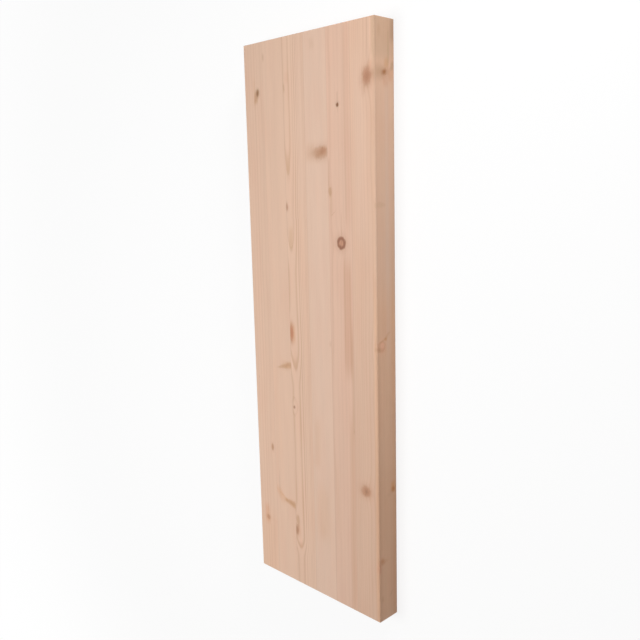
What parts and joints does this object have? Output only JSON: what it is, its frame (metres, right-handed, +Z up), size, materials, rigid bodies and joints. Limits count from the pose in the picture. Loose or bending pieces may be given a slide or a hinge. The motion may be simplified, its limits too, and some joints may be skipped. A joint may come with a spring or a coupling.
{
  "type": "edge-glued timber board",
  "caption": "Edge-glued spruce board, planed flat with knots and straight grain, its long edges slightly rounded, for shelves, treads, benches and panels.",
  "frame": {"origin": "middle of the underside, where the board rests", "axes": "+X along the grain and the board's length, +Y across its width towards the stave that was ripped narrower, +Z up through its thickness; the better broad face, the one the picture shows, is up"},
  "size_m": [0.9, 0.28, 0.042],
  "materials": {
    "spruce": "matte"
  },
  "bodies": {
    "root": {"stave_1": "spruce", "stave_2": "spruce", "stave_3": "spruce", "stave_4": "spruce", "stave_5": "spruce", "stave_6": "spruce"}
  },
  "joints": []
}
